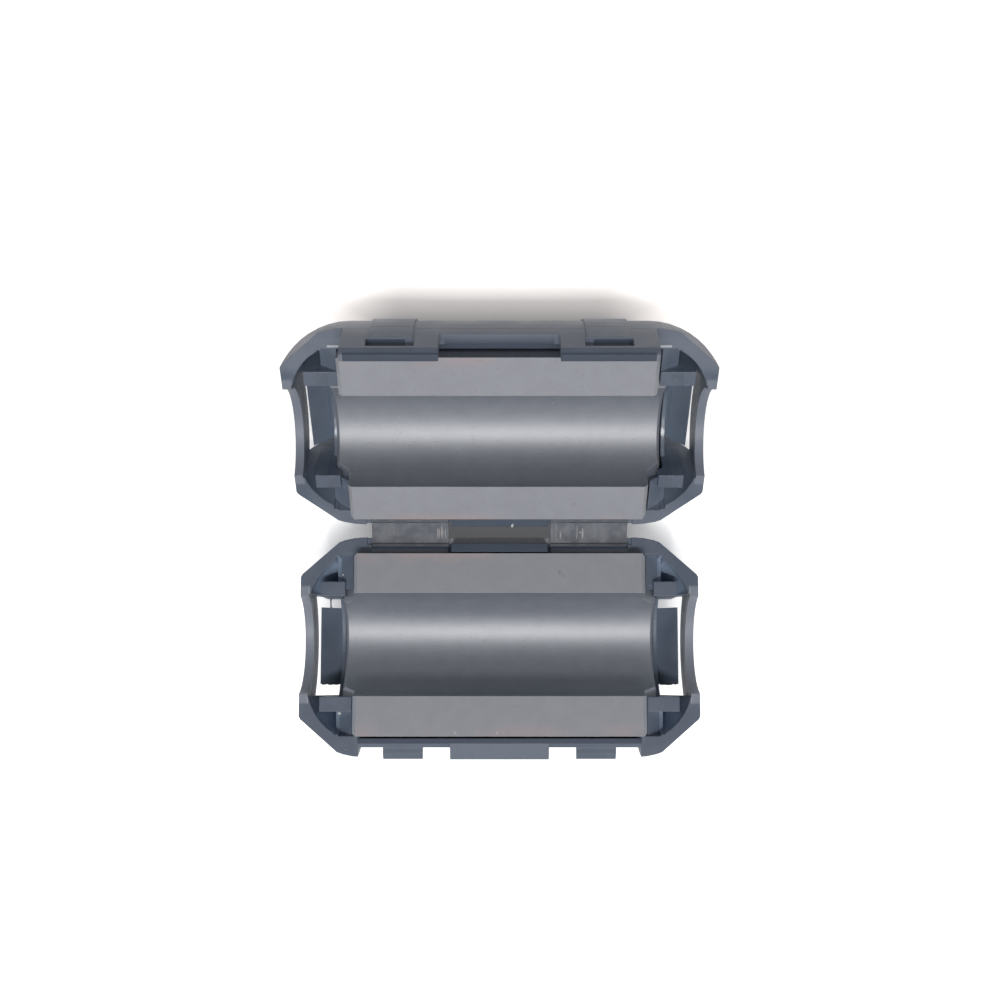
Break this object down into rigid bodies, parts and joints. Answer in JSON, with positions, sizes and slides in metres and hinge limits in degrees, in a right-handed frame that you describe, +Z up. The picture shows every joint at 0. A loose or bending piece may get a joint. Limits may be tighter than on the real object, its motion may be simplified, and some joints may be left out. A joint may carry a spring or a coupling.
{
  "type": "clip-on ferrite bead",
  "caption": "Clip-on split ferrite core for a round cable: hinged plastic half shells, each holding half of a ferrite tube, lying open on their backs.",
  "frame": {"origin": "middle of the open bead's footprint on the ground, under the middle of the hinge strap", "axes": "+X along the cable bores; +Y from the lower half (with the hooks) to the upper half (with the windows); +Z up"},
  "size_m": [0.0354, 0.0379, 0.0157],
  "materials": {
    "case_plastic": "dark slate, moulded with a slight gloss",
    "hinge_plastic": "thin glossy plastic, whitened where it folds",
    "ferrite": "ground sintered ferrite, mid grey with a slight purple tint"
  },
  "bodies": {
    "lower": {"lower_shell": "case_plastic", "lower_core": "ferrite"},
    "strap": {"hinge_strap": "hinge_plastic"},
    "upper": {"upper_shell": "case_plastic", "upper_core": "ferrite"}
  },
  "joints": [
    {"name": "lower_fold", "type": "hinge", "parent": "lower", "child": "strap", "pos_m": [0, -0.00112, 0.00532], "axis": [1, 0, 0], "range_deg": [-22.5, 67.5]},
    {"name": "upper_fold", "type": "hinge", "parent": "strap", "child": "upper", "pos_m": [0, 0.00112, 0.00532], "axis": [1, 0, 0], "range_deg": [-22.5, 67.5]}
  ],
  "couplings": [
    {"joint": "lower_fold", "follows": "upper_fold", "ratio": 1}
  ]
}
